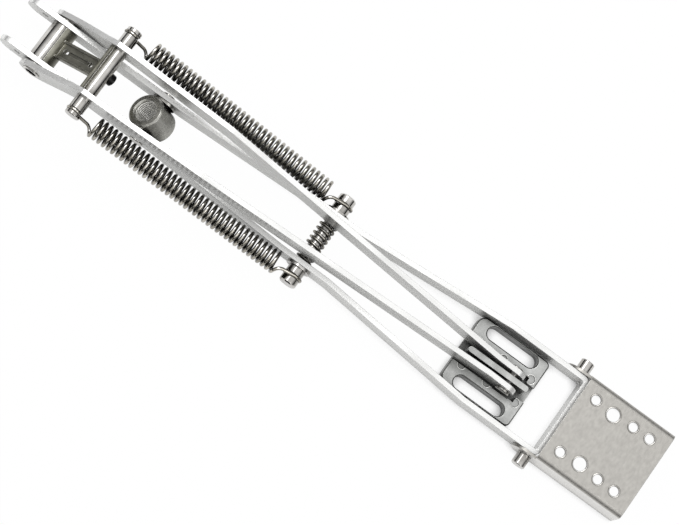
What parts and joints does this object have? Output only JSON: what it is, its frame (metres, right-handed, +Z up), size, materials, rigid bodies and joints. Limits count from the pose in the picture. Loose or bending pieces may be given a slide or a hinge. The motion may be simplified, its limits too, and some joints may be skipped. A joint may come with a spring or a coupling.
{
  "type": "automatic greenhouse vent opener",
  "caption": "Folding compass linkage that lifts a greenhouse vent: forked flat-bar arms on a common hinge, return springs, a swivel nut for the cylinder, and frame and sash brackets.",
  "frame": {"origin": "centre of the main hinge that joins the lift arm and the base arms", "axes": "+X along the folded arms to the sash plate, +Y along the hinge, +Z up from the surface it lies on"},
  "size_m": [0.4289, 0.0708, 0.0439],
  "materials": {
    "bar_aluminium": "bright tumbled bar",
    "bright_steel": "bright turned steel",
    "spring_steel": "bright spring wire",
    "strut_steel": "dull olive grey steel",
    "die_cast": "matt grey die-casting",
    "plate_sheet": "satin warm grey sheet"
  },
  "bodies": {
    "lift_frame": {"lift_arm": "bar_aluminium", "anchor_shaft": "bright_steel", "anchor_spool_left": "bright_steel", "anchor_spool_right": "bright_steel", "anchor_spacer": "spring_steel", "trunnion_pins": "bright_steel", "anchor_washers": "bright_steel", "sash_pins": "bright_steel"},
    "base_frame": {"base_arm_left": "bar_aluminium", "base_arm_right": "bar_aluminium", "hinge_pin": "bright_steel", "hinge_tube": "bright_steel", "hinge_washers": "bright_steel", "strut": "strut_steel", "cross_shaft": "bright_steel", "rod_cup": "strut_steel"},
    "swivel_nut": {"swivel_nut": "die_cast", "trunnion_washers": "bright_steel"},
    "frame_bracket": {"frame_bracket": "die_cast", "frame_pin": "bright_steel"},
    "sash_bracket": {"sash_plate": "plate_sheet"},
    "return_springs": {"return_spring_left": "spring_steel", "return_spring_right": "spring_steel"}
  },
  "joints": [
    {"name": "main_hinge", "type": "hinge", "parent": "lift_frame", "child": "base_frame", "pos_m": [0, 0, 0], "axis": [0, -1, 0], "range_deg": [0, 75], "stiffness_Nm_per_rad": 1.9, "springref_deg": -22.92},
    {"name": "nut_swivel", "type": "hinge", "parent": "lift_frame", "child": "swivel_nut", "pos_m": [0.06839, 0, -0.00102], "axis": [0, -1, 0], "range_deg": [-55, 55]},
    {"name": "frame_pivot", "type": "hinge", "parent": "base_frame", "child": "frame_bracket", "pos_m": [0.31202, 0, -0.00114], "axis": [0, -1, 0], "range_deg": [0, 95]},
    {"name": "sash_pivot", "type": "hinge", "parent": "lift_frame", "child": "sash_bracket", "pos_m": [0.34296, 0, -0.00511], "axis": [0, -1, 0], "range_deg": [-90, 65]},
    {"name": "spring_stretch", "type": "slide", "parent": "lift_frame", "child": "return_springs", "axis": [-0.9379, 0, 0.3468], "range_m": [0, 0.04911], "deforming": ["return_spring_left", "return_spring_right"]}
  ],
  "couplings": [
    {"joint": "spring_stretch", "follows": "main_hinge", "m_per_rad": 0.037511}
  ]
}
